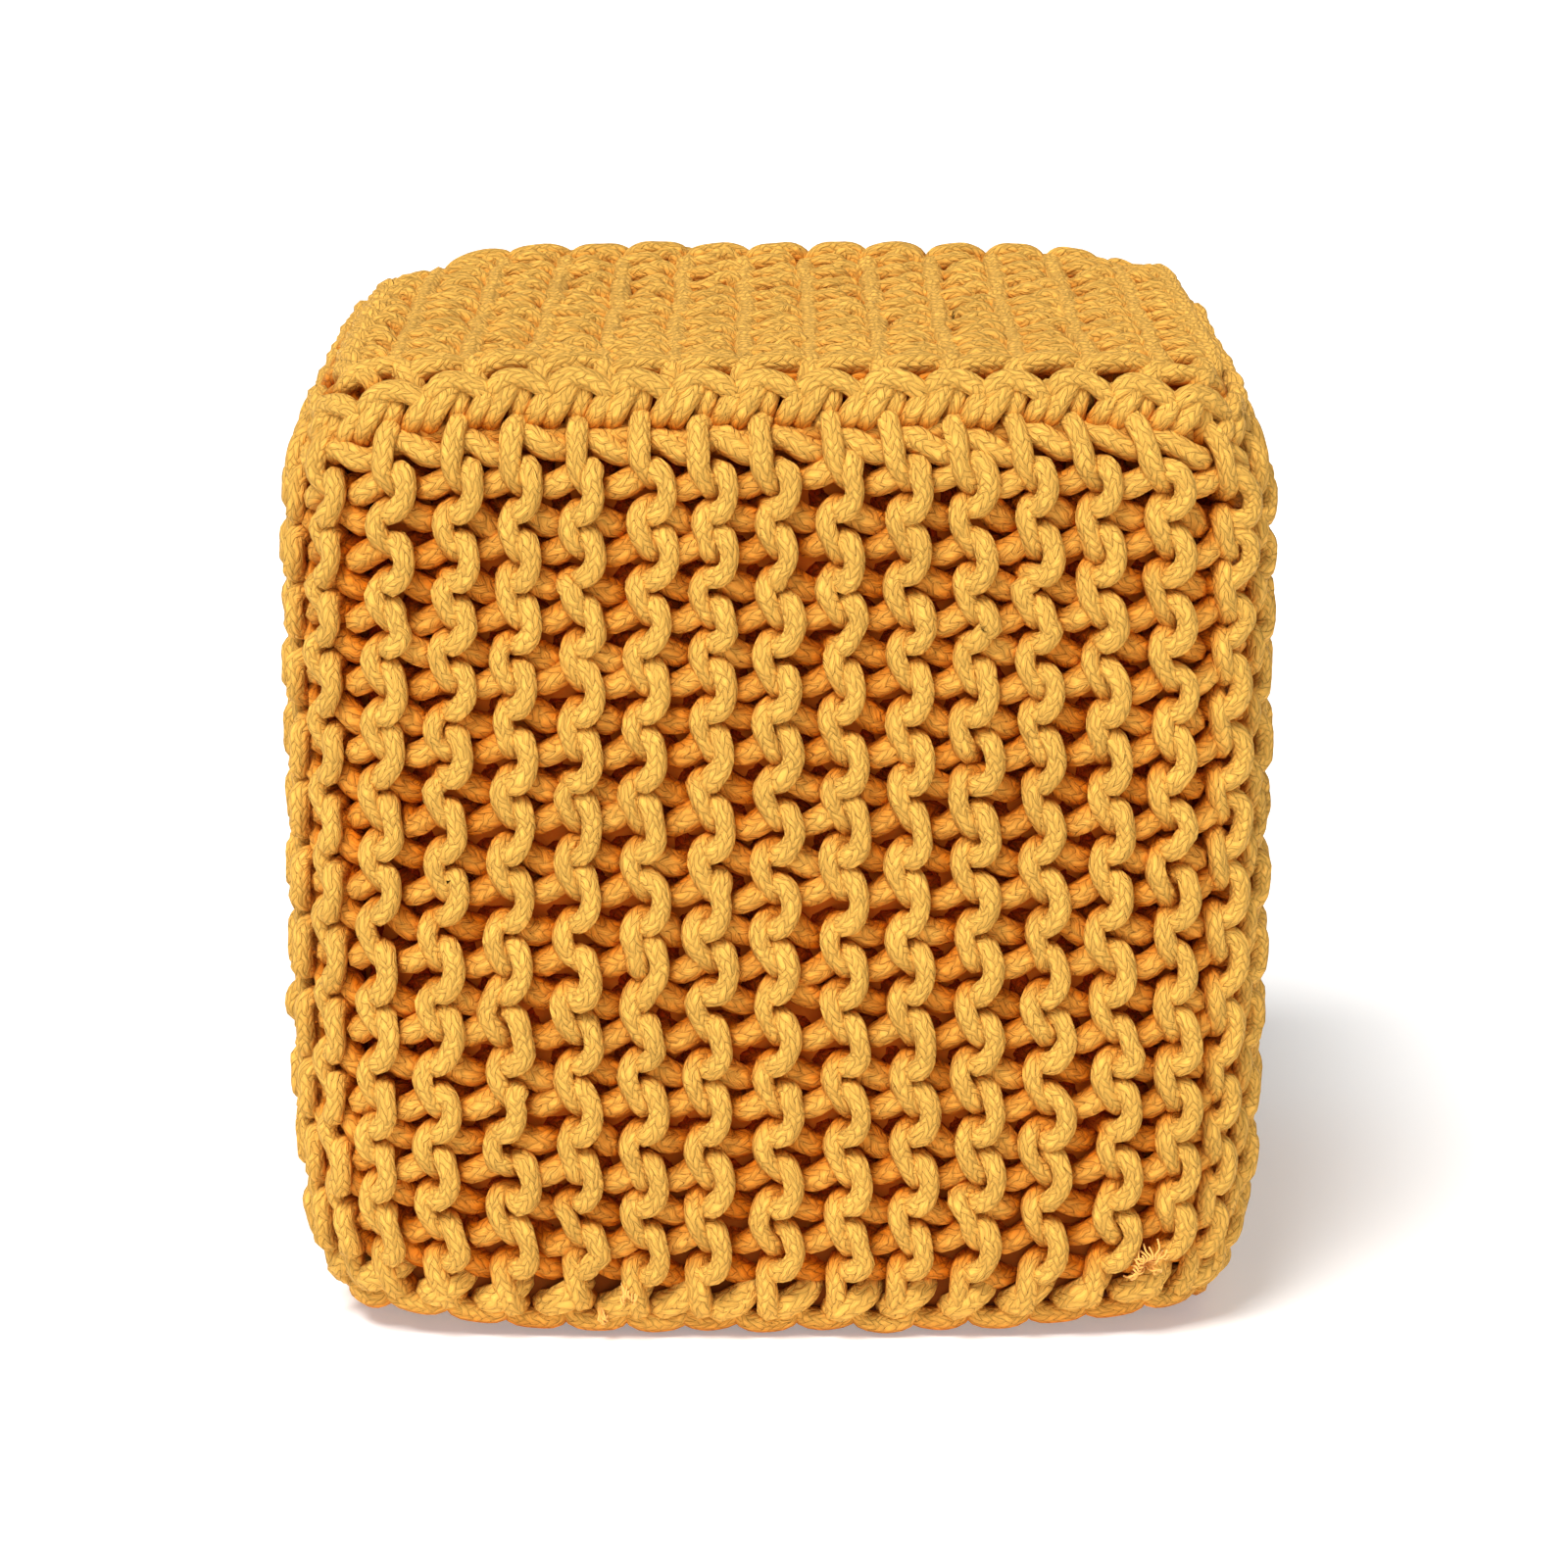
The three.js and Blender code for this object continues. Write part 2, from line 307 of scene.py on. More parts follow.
def placeCords(columns, points, steps, first, way, place):
    # The same cord in every column, each a little uneven. way -1 bows to the left.
    run = stitch["strayRun"]
    stray = dice.normal(0, 1, (len(columns), len(points) // run + 2, 4)) * stitch["uneven"]
    control = points[None] + stray[:, np.arange(len(points)) // run]
    local = splinePoints(control, steps)
    side, up, out = local[..., 0] * way, local[..., 1] + first, local[..., 2]
    paths = place(columns[:, None], side, up, out)
    return paths, out, place(columns[:, None], side, up, out + 1) - paths, local[..., 3]


# The band: soft upright sides, drawn in under the chain at the top and over the one at the base
band = {
    "half": 195.25,        # to the middle of the front loops
    "top": 382.0,
    "base": 18.0,
    "topTuck": 8.5,
    "topTuckSpan": 9.0,
    "baseTuck": 11.5,
    "baseTuckSpan": 26.0,
    "fanTop": -0.030,      # columns stand closer on each side at the top
    "fanBase": 0.035,      # and wider at the base
    "fanFrom": 95.0,       # height where the base's spacing holds
    "fanSpan": 227.0,      # and from there to where the top's does
    "firstColumn": -6,     # the front's first ridge, counted from the middle
    "cutRings": 28,        # rings to a length in the bake map
    "wander": 1.6,
    "wanderRate": 3.1,
    "wanderShift": 1.7,
    "rowDrift": 2.4,
    "upperCentre": 352.0,  # height of the highest right-bowed loop
    "stitches": 12,
    "topShade": 2.0,       # mm by which the painted shade is lighter under the top edge
    "topShadeSpan": 75.0,
    "baseShade": 1.2,      # and darker over the base
    "baseShadeSpan": 50.0,
    "leftLower": 0.6,      # how much lower than half way the left-bowed loops lie
    "midLift": 6.0,        # rows stand closer together towards the top
    # The ends of the left-bowed cords, and two strands under the top chain: as in a stitch, and thickness
    "straightStart": [
        (3.0, -16.6, -14.0, 1.1),
        (3.4, -15.6, -7.0, 1.28),
        (3.8, -12.0, -1.8, 1.26),
        (4.2, -4.5, -0.2, 1.04),
    ],
    "straightEnd": [
        (4.2, -4.0, -0.6, 1.0),
        (4.8, 3.0, 0.0, 1.0),
        (5.4, 9.5, -0.4, 1.0),
        (5.8, 14.0, -2.2, 1.0),
        (6.0, 16.2, -6.5, 1.0),
        (5.6, 14.5, -11.5, 1.0),
        (5.0, 9.0, -15.5, 1.0),
    ],
    "edgeStrand": [
        (-3.5, 7.0, -7.5, 1.1),
        (0.0, 8.4, -6.4, 1.15),
        (4.2, 6.9, -5.4, 1.2),
        (8.8, 3.6, -5.0, 1.2),
        (12.8, 1.6, -5.8, 1.2),
        (17.2, 1.0, -7.6, 1.15),
        (22.0, 2.4, -11.5, 1.0),
    ],
    "innerStrand": [
        (-2.0, 9.0, -12.0, 1.1),
        (6.0, 9.6, -9.6, 1.2),
        (12.0, 10.6, -8.8, 1.2),
        (18.0, 11.4, -9.6, 1.2),
        (24.0, 12.0, -13.0, 1.1),
    ],
}


def bandForm(z):
    top = band["topTuck"] * np.exp((z - band["top"]) / band["topTuckSpan"])
    base = band["baseTuck"] * np.exp((band["base"] - z) / band["baseTuckSpan"])
    slope = base / band["baseTuckSpan"] - top / band["topTuckSpan"]
    return band["half"] - top - base, slope


def bandPlace(column, side, up, out):
    u = column + side / stitch["ridgePitch"]
    wander = slowDrift(column * band["wanderRate"], up, band["wanderShift"])
    u = u + band["wander"] / stitch["ridgePitch"] * wander
    fan = band["fanBase"] + (band["fanTop"] - band["fanBase"]) * (up - band["fanFrom"]) / band["fanSpan"]
    swing = 2 * np.pi * u / pouf["perSide"]
    spread = np.sin(swing) - np.sin(2 * swing) / 2 + np.sin(3 * swing) / 3
    x, y, outX, outY = roundTheEdge(u + fan * pouf["perSide"] / np.pi * spread, bandPlan)
    risen = np.sin(np.pi * np.clip((up - band["base"]) / (band["top"] - band["base"]), 0, 1))
    z = up + band["midLift"] * risen + band["rowDrift"] * slowDrift(column, up, 0)
    half, slope = bandForm(z)
    lean = np.sqrt(1 + slope**2)
    dip = topDrop(x, y) * easeBetween(z, band["top"] - pouf["cornerFade"], band["top"])
    rise = easeBetween(-z, -band["base"] - pouf["cornerFade"], -band["base"])
    z = z - dip + baseRise(x, y) * rise
    return np.stack(
        [x * half + out * outX / lean, y * half + out * outY / lean, z - out * slope / lean], axis=-1
    )


# Painted shade: lighter under the top edge, darker over the base
def bandShade(z):
    pale = band["topShade"] * easeBetween(z, band["top"] - band["topShadeSpan"], band["top"])
    deep = band["baseShade"] * easeBetween(-z, -band["base"] - band["baseShadeSpan"], -band["base"])
    return pale - deep


pitch, stitches = stitch["pitch"], band["stitches"]
backBelow = rightLoop[stitch["backFrom"] :] - [0, pitch, 0, 0]
rightCourse = garterCourse(rightLoop, pitch, stitches, backBelow, start=0, stop=12, leadOut=[])
leftCourse = garterCourse(
    leftLoop, pitch, stitches + 1, band["straightStart"], start=4, stop=2, leadOut=band["straightEnd"]
)
lowest = band["upperCentre"] - (band["stitches"] - 1) * stitch["pitch"]
leftLowest = lowest - stitch["pitch"] / 2 - band["leftLower"]
leftHighest = leftLowest + band["stitches"] * stitch["pitch"]
for i, name in enumerate(["knit_front", "knit_right", "knit_back", "knit_left"]):
    columns = np.arange(pouf["perSide"]) + band["firstColumn"] + i * pouf["perSide"]
    groups = [
        placeCords(columns, *rightCourse, lowest, 1, bandPlace),
        placeCords(columns, *leftCourse, leftLowest, -1, bandPlace),
    ]
    for key in ("edgeStrand", "innerStrand"):
        points = np.array(band[key])
        groups.append(placeCords(columns, points, [3] * (len(points) - 1), leftHighest, 1, bandPlace))
    groups = [(paths, out + bandShade(paths[..., 2]), *others) for paths, out, *others in groups]
    cordPiece(
        name, groups, pouf["cordRadius"], pouf["cordSides"], band["cutRings"], "side_band"
    )
print("band knitted")

# Seat and base: the same stitch with its ridges from left to right, pulled flat. The two loops of a stitch
# stand close together, and smooth strips show between the pairs.
seat = {
    "half": 178.0,
    "rim": 397.6,
    "dish": 6.5,
    "drift": 1.8,
    "shoulder": 9.0,         # how far the left and right edges round off
    "shoulderPower": 24,
    "cornerDip": 8.0,
    "slump": 21.0,           # the left edge sinks towards the back
    "slumpPowers": (16, 2),  # how close to the left edge, and to the back
}
under = {"half": 168.0, "rim": 6.0, "drift": 1.8}
panel = {
    "half": 178.0,
    "edge": 0.965,    # share of the half width that the outer ridges keep within
    "ends": 1.03,     # the same for the ends of the cords
    "driftShift": 4.0,
    "ridges": 12,
    "stitches": 13,
    "pitch": 27.6,
    "cutRings": 28,
    "baseCutRings": 18,
    "baseSides": 6,   # the base is seen least
    "squeeze": 0.84,  # loops shorter along the ridge than the band's
    "pairing": 3.2,   # each loop's distance from the middle of its pair
    "tilt": 0.1,      # how far the right end of a loop is lifted
    "shaded": 1.2,    # the dye looks deeper sooner than in the band
    "lift": 1.2,      # painted shade starts sooner than in the band
}


def panelPlan(form, column, side, up, way):
    across = (2 * (column + 0.5 + side / stitch["ridgePitch"]) / panel["ridges"] - 1) * way
    along = (up + form["drift"] * slowDrift(column, up, panel["driftShift"])) / panel["half"]
    along = np.clip(along, -panel["ends"], panel["ends"])
    return drawnIn(along, np.clip(across, -panel["edge"], panel["edge"]), pouf["edgeDraw"])


def seatHeight(x, y):  # shares of the half width
    dish = seat["dish"] * np.clip(1 - x**2, 0, 1) * np.clip(1 - y**2, 0, 1)
    leftPower, backPower = seat["slumpPowers"]
    slump = seat["slump"] * np.clip(-x, 0, 1) ** leftPower * np.clip(y, 0, 1) ** backPower
    drop = seat["cornerDip"] * cornerDrop(x, y) + seat["shoulder"] * np.abs(x) ** seat["shoulderPower"]
    return seat["rim"] - dish - slump - drop


def seatPlace(column, side, up, out):
    x, y = panelPlan(seat, column, side, up, -1)
    return np.stack([x * seat["half"], y * seat["half"], seatHeight(x, y) + out], axis=-1)


def underPlace(column, side, up, out):
    x, y = panelPlan(under, column, side, up, 1)
    return np.stack([x * under["half"], y * under["half"], under["rim"] + baseRise(x, y) - out], axis=-1)


columns = np.arange(panel["ridges"])
flatLoop = np.column_stack([stitch["leftLoop"], stitch["rightThickness"]])
flatLoop = flatLoop * [1, panel["squeeze"], 1, 1]
flatLoop[:, 2] += panel["lift"] + panel["tilt"] * flatLoop[:, 1]
pitch, stitches = panel["pitch"], panel["stitches"]
backBefore = flatLoop[stitch["backFrom"] :] - [0, pitch, 0, 0]
points, steps = garterCourse(flatLoop, pitch, stitches, backBefore, start=0, stop=12, leadOut=[])
firstPair = -(stitches - 1) / 2 * pitch
for name, place, node, sides, cellRings, fewer in (
    ("knit_seat", seatPlace, "top_panel", pouf["cordSides"], panel["cutRings"], 0),
    ("knit_base", underPlace, "base_panel", panel["baseSides"], panel["baseCutRings"], 1),
):
    groups = []
    fewerSteps = [max(1, n - fewer) for n in steps]
    for way in (1, -1):
        first = firstPair - way * panel["pairing"]
        paths, out, outward, thickness = placeCords(columns, points, fewerSteps, first, way, place)
        groups.append((paths, out - panel["shaded"], outward, thickness))
    cordPiece(name, groups, pouf["cordRadius"], sides, cellRings, node)

# The smooth strips run from the front edge to the back one
wale = {
    "front": [(-173.0, -15.0), (-176.5, -8.5), (-175.0, -3.0), (-168.0, -1.4)],  # from the middle, and height
    "back": [(158.0, -3.5), (165.0, -5.0), (169.0, -10.0), (170.0, -15.0)],
    "between": (-156.0, 146.0),
    "points": 26,
    "level": -4.0,
    "ripple": 0.9,     # they rise and fall with the ridges
    "thickness": 1.2,
    "shade": 1.5,      # painted shade stays light all along
    "uneven": (0.9, 0.3, 0.45),
    "cutRings": 34,
}
front, back = np.array(wale["front"]), np.array(wale["back"])
middle = np.linspace(*wale["between"], wale["points"])
fromMiddle = np.concatenate([front[:, 0], middle, back[:, 0]])
level = np.concatenate([front[:, 1], np.full(len(middle), wale["level"]), back[:, 1]])
wales = firstPair + pitch * (np.arange(stitches - 1) + 0.5)
control = np.stack(np.broadcast_arrays(wales[:, None], fromMiddle, level), axis=-1)
control = control + dice.normal(0, 1, control.shape) * wale["uneven"]
local = splinePoints(control, [2] * (len(level) - 1))
column = (1 - local[..., 1] / panel["half"]) / 2 * panel["ridges"] - 0.5
x, y = drawnIn(local[..., 0] / panel["half"], local[..., 1] / panel["half"], pouf["edgeDraw"])
x = x + seat["drift"] / panel["half"] * slowDrift(column, local[..., 0], panel["driftShift"])
height = seatHeight(x, y) + local[..., 2] + wale["ripple"] * np.cos(2 * np.pi * column)
paths = np.stack([x * seat["half"], y * seat["half"], height], axis=-1)
upward = np.broadcast_to([0.0, 0.0, 1.0], paths.shape)
groups = [(paths, np.maximum(local[..., 2], wale["shade"]), upward, wale["thickness"])]
cordPiece(
    "seat_wales", groups, pouf["cordRadius"], pouf["cordSides"], wale["cutRings"], "top_panel"
)
print("seat and base knitted")

# The crocheted joins. Each link, in links along the edge and mm up and out from its middle: a left leg and a
# right leg that lean to the right, a knob behind them and an arch over them.
chain = {
    "halfX": 178.0,
    "halfY": 181.0,
    "height": 383.0,
    "baseHalf": 172.0,
    "baseHeight": 17.4,
    "radius": 4.4,         # worked tighter than the knit at the top, slack at the base
    "baseRadius": 4.7,
    "sides": 8,
    "depth": 6.8,          # below its face where painted shade begins
    "baseDepth": 4.0,
    "link": [
        (-0.98, -8.0, -2.0),
        (-0.91, -4.8, 4.2),
        (-0.83, -1.4, 6.0),
        (-0.74, 2.2, 5.8),
        (-0.66, 5.0, 3.2),
        (-0.60, 6.2, -1.5),
        (-0.62, -2.0, -5.0),
        (-0.68, -8.5, -2.5),
        (-0.61, -4.8, 4.6),
        (-0.52, -0.8, 6.4),
        (-0.42, 3.4, 6.6),
        (-0.32, 7.2, 4.6),
        (-0.24, 9.0, 0.5),
        (-0.24, 5.0, -5.5),
        (-0.27, -6.0, -7.0),
        (-0.27, -10.5, -2.5),
        (-0.22, -5.5, 1.6),
        (-0.17, -0.5, 3.4),
        (-0.12, 4.0, 2.6),
        (-0.12, 6.6, -1.5),
        (-0.30, 3.0, -7.0),
        (-0.60, 3.0, -3.0),
        (-0.56, 6.4, 4.2),
        (-0.48, 9.6, 5.6),
        (-0.34, 11.2, 5.0),
        (-0.16, 11.2, 4.6),
        (0.02, 10.0, 4.8),
        (0.16, 8.0, 5.0),
        (0.28, 5.6, 4.2),
        (0.36, 3.0, 0.5),
        (0.36, -1.0, -5.0),
        (0.14, -6.0, -6.0),
    ],
    "steps": [2, 2, 3, 3, 2, 1, 1, 2, 2, 3, 3, 2, 1, 1, 1, 2, 2, 2, 2, 1, 1, 2, 2, 2, 2, 2, 2, 2, 2, 1, 1, 1],
    # At the base a single thick leg, and a bow under the band's straight ends
    "baseLink": [
        (-1.05, -6.0, -3.0),
        (-0.98, -5.0, 4.5),
        (-0.84, -3.2, 8.2),
        (-0.66, -0.8, 9.0),
        (-0.48, 2.4, 7.5),
        (-0.36, 5.5, 0.5),
        (-0.45, 0.0, -6.0),
        (-0.68, -2.5, -3.0),
        (-0.64, -6.4, 1.2),
        (-0.52, -10.2, 2.8),
        (-0.30, -11.6, 2.8),
        (-0.02, -11.6, 2.8),
        (0.20, -10.2, 2.8),
        (0.32, -6.4, 1.2),
        (0.36, -2.5, -3.0),
        (0.20, -1.0, -7.0),
    ],
    "baseThickness": [1.1, 1.25, 1.3, 1.3, 1.25, 1.1, 1, 1, 1, 1, 1, 1, 1, 1, 1, 1],
    "baseSteps": [2, 3, 3, 3, 2, 1, 2, 2, 2, 2, 3, 2, 2, 2, 1, 2],
    "uneven": (0.03, 0.5, 0.45, 0.03),
    "facing": (0.8, 0.6),  # which way each join looks, out and up: painted shade falls on the sides turned away
    "baseFacing": (0.9, 0.3),
}


def chainPiece(name, link, steps, radius, halves, height, level, facing, depth, node):
    links = pouf["columns"]
    control = link + dice.normal(0, 1, (links, 1, 4)) * chain["uneven"]
    control[..., 0] += np.arange(links)[:, None]
    control = np.concatenate([control.reshape(-1, 4), control[0] + [links, 0, 0, 0]])
    local = splinePoints(control[None], (steps * (links + 1))[:-1])
    x, y, outX, outY = roundTheEdge(local[..., 0], edgePlan)
    up, out = local[..., 1], local[..., 2]
    z = height + level(x, y) + up
    paths = np.stack([x * halves[0] + out * outX, y * halves[1] + out * outY, z], axis=-1)
    outward = np.stack([outX * facing[0], outY * facing[0], np.full_like(x, facing[1])], axis=-1)
    # Painted shade: how far each point stands out and up from where it begins
    proud = out * facing[0] + up * facing[1] - depth
    groups = [(paths, proud, outward, local[..., 3])]
    cordPiece(name, groups, radius, chain["sides"], sum(steps), node)


def topLevel(x, y):
    return -topDrop(x, y)


halves, height = (chain["halfX"], chain["halfY"]), chain["height"]
link = np.column_stack([chain["link"], np.ones(len(chain["link"]))])
steps, radius = chain["steps"], chain["radius"]
facing, depth = chain["facing"], chain["depth"]
chainPiece("chain_top", link, steps, radius, halves, height, topLevel, facing, depth, "top_chain")
halves, height = (chain["baseHalf"], chain["baseHalf"]), chain["baseHeight"]
link = np.column_stack([chain["baseLink"], chain["baseThickness"]])
steps, radius = chain["baseSteps"], chain["baseRadius"]
facing, depth = chain["baseFacing"], chain["baseDepth"]
chainPiece("chain_base", link, steps, radius, halves, height, baseRise, facing, depth, "base_chain")

# The seat's edge stitches, each a long lump behind the arches that ends further in on its right: shares of
# the spacing along the edge, half width, and height over the seat
join = {
    "points": [
        (-0.53, 170.5, -13.0),
        (-0.47, 172.5, -6.0),
        (-0.38, 173.5, -1.2),
        (-0.20, 173.0, 0.9),
        (0.02, 171.5, 1.3),
        (0.24, 169.5, 1.0),
        (0.40, 168.0, -1.0),
        (0.47, 167.0, -6.0),
        (0.50, 165.0, -13.0),
    ],
    "uneven": (0.03, 0.6, 0.5),
    "facing": (0.5, 0.87),  # which way they look, out and up: painted shade falls on the sides turned away
    "cutRings": 24,
}
points = np.array(join["points"])
groups = []
for quarter in range(4):  # front, right, back, left
    count = (panel["stitches"], panel["ridges"])[quarter % 2]
    spacing = (panel["pitch"], 2 * panel["half"] / panel["ridges"])[quarter % 2]
    control = points + dice.normal(0, 1, (count, 1, 3)) * join["uneven"]
    control[..., 0] = (control[..., 0] + np.arange(count)[:, None] - (count - 1) / 2) * spacing
    local = splinePoints(control, [3] * (len(points) - 1))
    turn = quarter * math.pi / 2
    x = (local[..., 0] * math.cos(turn) + local[..., 1] * math.sin(turn)) / seat["half"]
    y = (local[..., 0] * math.sin(turn) - local[..., 1] * math.cos(turn)) / seat["half"]
    x, y = drawnIn(np.clip(x, -1, 1), np.clip(y, -1, 1), pouf["edgeDraw"])
    paths = np.stack([x * seat["half"], y * seat["half"], seatHeight(x, y) + local[..., 2]], axis=-1)
    out, up = join["facing"]
    outward = np.broadcast_to([out * math.sin(turn), -out * math.cos(turn), up], paths.shape)
    groups.append((paths, local[..., 2] - panel["shaded"], outward, 1.0))
cordPiece(
    "seat_joins", groups, pouf["cordRadius"], pouf["cordSides"], join["cutRings"], "top_panel"
)
print("chains and joins made")

# Cut cord ends that have frayed into curly yarns: column, height on the band, how many, how far they reach,
# and which way they fan (degrees from the right)
frayed = {
    "tufts": [
        (5.55, 29.0, 28, 9.5, (-40, 220)),
        (-2.35, 19.0, 14, 5.5, (10, 170)),
        (-2.85, 12.5, 10, 4.5, (-150, -30)),
    ],
    "radius": 0.42,
    "sides": 5,
    "points": 6,
    "lengths": (0.55, 1.1),  # shares of the reach
    "curl": 1.0,
    "curlRates": (0.6, 1.6),  # radians a millimetre
    "curlPhases": (0.0, 6.3),
    "lift": (-3.0, 6.0),  # root and crown of a yarn's arc, out of the face
    "arcs": (1.8, 2.9),   # radians of the arc from root to tip
    "cutRings": 15,
}
groups = []
for column, height, count, reach, (low, high) in frayed["tufts"]:
    angle = np.radians(dice.uniform(low, high, count))[:, None]
    along = np.linspace(0, 1, frayed["points"])
    length = reach * dice.uniform(*frayed["lengths"], count)[:, None] * along
    curlRate = dice.uniform(*frayed["curlRates"], (count, 1))
    curlPhase = dice.uniform(*frayed["curlPhases"], (count, 1))
    curl = frayed["curl"] * np.sin(curlRate * length + curlPhase)
    rise = np.sin(along * dice.uniform(*frayed["arcs"], (count, 1)))
    out = frayed["lift"][0] + (frayed["lift"][1] - frayed["lift"][0]) * rise
    side = length * np.cos(angle) - curl * np.sin(angle)
    up = height + length * np.sin(angle) + curl * np.cos(angle)
    local = splinePoints(np.stack([side, up, out], axis=-1), [3] * (frayed["points"] - 1))
    side, up, out = np.moveaxis(local, -1, 0)
    paths = bandPlace(column, side, up, out)
    groups.append((paths, out, bandPlace(column, side, up, out + 1) - paths, 1.0))
cordPiece(
    "frayed_ends", groups, frayed["radius"], frayed["sides"], frayed["cutRings"], "side_band"
)

# The filled bag that the cover is drawn over: it shows only as shade between the stitches
bag = {
    "inset": 15.8,
    "low": 6.5,
    "high": 369.0,
    "rows": 26,
    "round": 40.0,     # height over which it rounds off
    "baseDraw": 13.0,  # how far it does so at the base, and at the top
    "topDraw": 20.0,
    "around": 112,
    "innerRings": (0.7, 0.35),  # rings of its flat ends, each a share of the one outside it
    "crownDip": 6.0,
}
u = np.arange(bag["around"]) * pouf["columns"] / bag["around"]
x, y, outX, outY = roundTheEdge(u, bandPlan)
rings = []
for share in np.linspace(0, 1, bag["rows"]):
    z = bag["low"] + (bag["high"] - bag["low"]) * (0.5 - 0.5 * math.cos(math.pi * share))
    edge = max(0, 1 - min(z - bag["low"], bag["high"] - z) / bag["round"])
    draw = bag["baseDraw"] if share < 0.5 else bag["topDraw"]
    half = band["half"] - bag["inset"] - draw * (1 - math.sqrt(1 - edge**2))
    dip = topDrop(x, y) * easeBetween(z, bag["high"] - pouf["cornerFade"], bag["high"])
    lift = baseRise(x, y) * easeBetween(-z, -bag["low"] - pouf["cornerFade"], -bag["low"])
    rings.append(np.stack([x * half, y * half, z - dip + lift], axis=-1))
for share in bag["innerRings"]:
    rings.insert(0, rings[0] * [share, share, 0] + [0, 0, bag["low"]])
    rings.append(rings[-1] * [share, share, 0] + [0, 0, bag["high"] - bag["crownDip"]])
count = bag["around"]
index = np.arange(len(rings) * count).reshape(len(rings), count)
nextSide = np.roll(index, -1, axis=1)
faces = np.stack([index[:-1], nextSide[:-1], nextSide[1:], index[1:]], axis=-1).reshape(-1, 4).tolist()
faces += [index[0, ::-1].tolist(), index[-1].tolist()]
mesh = bpy.data.meshes.new("filled_bag")
mesh.from_pydata((np.concatenate(rings) * 0.001).tolist(), [], faces)
mesh.polygons.foreach_set("use_smooth", np.ones(len(mesh.polygons), dtype=bool))
filledBag = bpy.data.objects.new("filled_bag", mesh)
bpy.context.scene.collection.objects.link(filledBag)
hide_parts("side_band")
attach(filledBag, "root")
print("filled bag made")


def linear(hexColour):  # sRGB hex to linear RGBA
    parts = [int(hexColour[i : i + 2], 16) / 255 for i in (1, 3, 5)]
    return [p / 12.92 if p <= 0.04045 else ((p + 0.055) / 1.055) ** 2.4 for p in parts] + [1.0]


def addNode(tree, kind, settings=None, inputs=None):
    # Adds a node, sets its properties, and fills or links its sockets by name or number
    node = tree.nodes.new(kind)
    for key, value in (settings or {}).items():
        setattr(node, key, value)
    for key, value in (inputs or {}).items():
        if isinstance(value, bpy.types.NodeSocket):
            tree.links.new(value, node.inputs[key])
        else:
            node.inputs[key].default_value = value
    return node


rangeSockets = ("From Min", "From Max", "To Min", "To Max")  # the order of a Map Range node's settings below

# Braided cotton cord, piece-dyed mustard. The eye gets slanted plaits, each over two and under two, uneven
# and soft, dark painted shade in the slits between some of them, no gloss, and a redder, deeper painted
# shade where cords lie deep in the knit.
braidedCord = {
    "plaits": 10,        # round the cord, each way
    "yarns": 3,          # side by side in a plait
    "pickLength": 4.4,   # mm along the cord for one crossing
    "wobble": 1.5,       # crossings by which plaits stray
    "wobbleSize": 7.0,   # mm
    "patchSize": 1.7,    # mm, between slits that show and slits that don't
    "dyeCloud": 55.0,    # mm, slow changes of the dye
    "relief": 0.85,      # mm, plait crown to slit
    "fibreRun": (5.0, 0.7, 1.0),  # fibres across a plait, and along it
    "bowShare": 0.28,    # how far a plait's bow closes the slit beside it
    "yarnHeight": 0.3,   # next to a plait's own height
    "fibreHeight": 1.2,
    "hollow": (0.05, 0.38, 1.0, 0.0),  # from a slit's middle to its edge
    "shown": (0.46, 0.57, 0.1, 1.0),   # from patches where slits stay faint to patches where they show
    "tone": (0.55, 1.75, 0.74, 1.13),  # painted shade in the hollows and lighter crowns, from the lowest fibres to the highest
    "dye": (0.3, 0.7, 0.94, 1.04),
    "lower": (0.0, 0.45, 0.0, 1.0),    # how soon the first tint of painted shade is full
    "raised": "#F2B854",
    # Painted shade in the slits between plaits
    "slit": "#7A3E0E",
    "halfTuckedShade": "#F2C232",  # painted shade tints where cords lie lower in the knit, and deep
    "tuckedShade": "#E27400",
    "sheen": "#FFC266",
}
cottonCord = bpy.data.materials.new("braided_cotton_cord")
cottonCord.use_nodes = True
tree = cottonCord.node_tree
tree.nodes.clear()
spot = addNode(tree, "ShaderNodeTexCoord").outputs["Object"]
cordMap = addNode(tree, "ShaderNodeUVMap", {"uv_map": "cord"}).outputs[0]
perCrossing = (braidedCord["plaits"], 1000 / braidedCord["pickLength"], 0)
crossings = addNode(
    tree, "ShaderNodeVectorMath", {"operation": "MULTIPLY"}, {0: cordMap, 1: perCrossing}
).outputs[0]
wobbles = 1000 / braidedCord["wobbleSize"]
stray = addNode(
    tree, "ShaderNodeTexNoise", None, {"Vector": spot, "Scale": wobbles, "Detail": 1.0}
).outputs["Color"]
wobble = (braidedCord["wobble"],) * 3
strayed = addNode(
    tree, "ShaderNodeVectorMath", {"operation": "MULTIPLY_ADD"}, {0: stray, 1: wobble, 2: crossings}
).outputs[0]
turns, picks = addNode(tree, "ShaderNodeSeparateXYZ", None, {0: strayed}).outputs[:2]
leftRun = addNode(tree, "ShaderNodeMath", {"operation": "ADD"}, {0: turns, 1: picks}).outputs[0]
rightRun = addNode(tree, "ShaderNodeMath", {"operation": "SUBTRACT"}, {0: turns, 1: picks}).outputs[0]
leftCell = addNode(tree, "ShaderNodeMath", {"operation": "FLOOR"}, {0: leftRun}).outputs[0]
rightCell = addNode(tree, "ShaderNodeMath", {"operation": "FLOOR"}, {0: rightRun}).outputs[0]
cells = addNode(tree, "ShaderNodeMath", {"operation": "ADD"}, {0: leftCell, 1: rightCell}).outputs[0]
